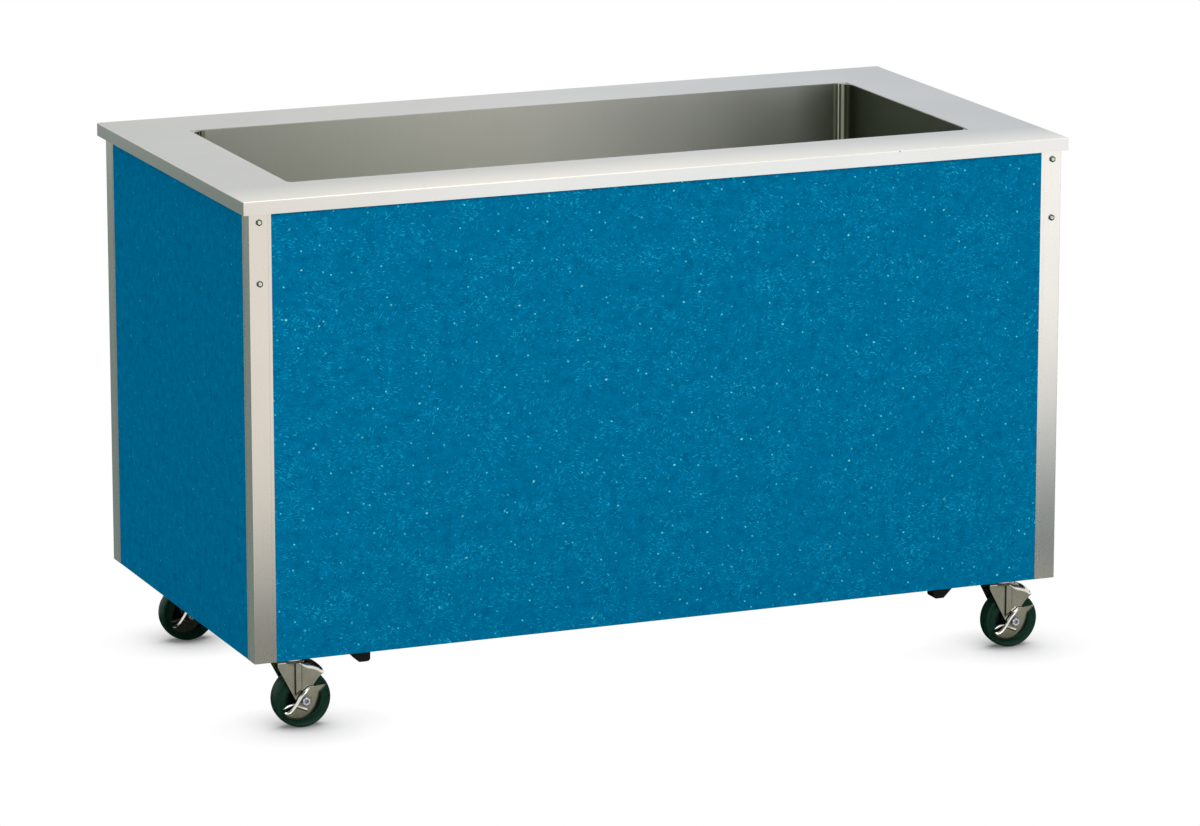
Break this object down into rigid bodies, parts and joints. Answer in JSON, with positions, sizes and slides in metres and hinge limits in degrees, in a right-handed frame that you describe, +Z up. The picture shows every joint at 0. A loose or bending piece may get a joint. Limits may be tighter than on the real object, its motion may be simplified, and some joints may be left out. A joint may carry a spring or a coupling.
{
  "type": "mobile salad bar",
  "caption": "Mobile cold-food bar: stainless top with a deep ice well and drain valve, on a blue-panelled cart with rear storage and braked swivel casters.",
  "frame": {"origin": "on the floor under the middle of the worktop", "axes": "+X to the right along the front, +Y from the front to the rear, +Z up"},
  "size_m": [1.524, 0.7874, 0.925],
  "materials": {
    "stainless_top": "brushed stainless, ground along its length",
    "stainless_well": "polished stainless, satin",
    "stainless_post": "brushed stainless, ground along its height",
    "galvanised": "galvanised sheet",
    "laminate": "board faced with blue mottled laminate",
    "foam": "foamed in place",
    "zinc": "zinc plated",
    "tyre": "moulded rubber",
    "hub": "moulded",
    "black_moulding": "moulded, satin",
    "nickel": "nickel-plated brass",
    "grip": "dipped vinyl"
  },
  "bodies": {
    "cart": {"worktop": "stainless_top", "well_liner": "stainless_well", "well_insulation": "foam", "well_jacket": "galvanised", "front_panel": "laminate", "left_panel": "laminate", "right_panel": "laminate", "front_top_rail": "galvanised", "left_top_rail": "galvanised", "right_top_rail": "galvanised", "rear_apron": "stainless_post", "corner_brackets": "galvanised", "post_bolts": "zinc", "bottom_shelf": "galvanised", "shelf_stiffener": "galvanised", "left_caster_rail": "galvanised", "right_caster_rail": "galvanised", "left_base_block": "black_moulding", "right_base_block": "black_moulding", "kingpins": "zinc", "swivel_balls": "zinc", "caster_bolts": "zinc", "drain_flange": "stainless_well", "drain_locknut": "nickel", "drain_pipe": "galvanised", "valve_body": "nickel", "front_left_post": "stainless_post", "front_left_top_plate": "zinc", "front_right_post": "stainless_post", "front_right_top_plate": "zinc", "rear_left_post": "stainless_post", "rear_left_top_plate": "zinc", "rear_right_post": "stainless_post", "rear_right_top_plate": "zinc"},
    "drain_strainer": {"drain_strainer": "stainless_well"},
    "valve_lever": {"valve_ball": "nickel", "valve_handle": "zinc", "valve_grip": "grip", "handle_nut": "zinc"},
    "front_left_swivel": {"front_left_fork": "zinc", "front_left_axle": "zinc"},
    "front_left_wheel": {"front_left_hub": "hub", "front_left_tyre": "tyre"},
    "front_left_brake": {"front_left_brake_lever": "zinc"},
    "front_right_swivel": {"front_right_fork": "zinc", "front_right_axle": "zinc"},
    "front_right_wheel": {"front_right_hub": "hub", "front_right_tyre": "tyre"},
    "front_right_brake": {"front_right_brake_lever": "zinc"},
    "rear_left_swivel": {"rear_left_fork": "zinc", "rear_left_axle": "zinc"},
    "rear_left_wheel": {"rear_left_hub": "hub", "rear_left_tyre": "tyre"},
    "rear_left_brake": {"rear_left_brake_lever": "zinc"},
    "rear_right_swivel": {"rear_right_fork": "zinc", "rear_right_axle": "zinc"},
    "rear_right_wheel": {"rear_right_hub": "hub", "rear_right_tyre": "tyre"},
    "rear_right_brake": {"rear_right_brake_lever": "zinc"}
  },
  "joints": [
    {"name": "strainer_lift", "type": "slide", "parent": "cart", "child": "drain_strainer", "axis": [0, 0, 1], "range_m": [0, 0.1]},
    {"name": "valve_turn", "type": "hinge", "parent": "cart", "child": "valve_lever", "pos_m": [0.38, 0.15, 0.5995], "axis": [0, 1, 0], "range_deg": [0, 90]},
    {"name": "front_left_swivel_turn", "type": "hinge", "parent": "cart", "child": "front_left_swivel", "pos_m": [-0.6695, -0.3387, 0.1255], "axis": [0, 0, 1], "continuous": true},
    {"name": "front_left_wheel_roll", "type": "hinge", "parent": "front_left_swivel", "child": "front_left_wheel", "pos_m": [-0.653, -0.3387, 0.0508], "axis": [0, 1, 0], "continuous": true},
    {"name": "front_left_brake_press", "type": "hinge", "parent": "front_left_swivel", "child": "front_left_brake", "pos_m": [-0.653, -0.3387, 0.0508], "axis": [0, 1, 0], "range_deg": [0, 20]},
    {"name": "front_right_swivel_turn", "type": "hinge", "parent": "cart", "child": "front_right_swivel", "pos_m": [0.6695, -0.3387, 0.1255], "axis": [0, 0, 1], "continuous": true},
    {"name": "front_right_wheel_roll", "type": "hinge", "parent": "front_right_swivel", "child": "front_right_wheel", "pos_m": [0.686, -0.3387, 0.0508], "axis": [0, 1, 0], "continuous": true},
    {"name": "front_right_brake_press", "type": "hinge", "parent": "front_right_swivel", "child": "front_right_brake", "pos_m": [0.686, -0.3387, 0.0508], "axis": [0, 1, 0], "range_deg": [0, 20]},
    {"name": "rear_left_swivel_turn", "type": "hinge", "parent": "cart", "child": "rear_left_swivel", "pos_m": [-0.6695, 0.2627, 0.1255], "axis": [0, 0, 1], "continuous": true},
    {"name": "rear_left_wheel_roll", "type": "hinge", "parent": "rear_left_swivel", "child": "rear_left_wheel", "pos_m": [-0.653, 0.2627, 0.0508], "axis": [0, 1, 0], "continuous": true},
    {"name": "rear_left_brake_press", "type": "hinge", "parent": "rear_left_swivel", "child": "rear_left_brake", "pos_m": [-0.653, 0.2627, 0.0508], "axis": [0, 1, 0], "range_deg": [0, 20]},
    {"name": "rear_right_swivel_turn", "type": "hinge", "parent": "cart", "child": "rear_right_swivel", "pos_m": [0.6695, 0.2627, 0.1255], "axis": [0, 0, 1], "continuous": true},
    {"name": "rear_right_wheel_roll", "type": "hinge", "parent": "rear_right_swivel", "child": "rear_right_wheel", "pos_m": [0.686, 0.2627, 0.0508], "axis": [0, 1, 0], "continuous": true},
    {"name": "rear_right_brake_press", "type": "hinge", "parent": "rear_right_swivel", "child": "rear_right_brake", "pos_m": [0.686, 0.2627, 0.0508], "axis": [0, 1, 0], "range_deg": [0, 20]}
  ]
}
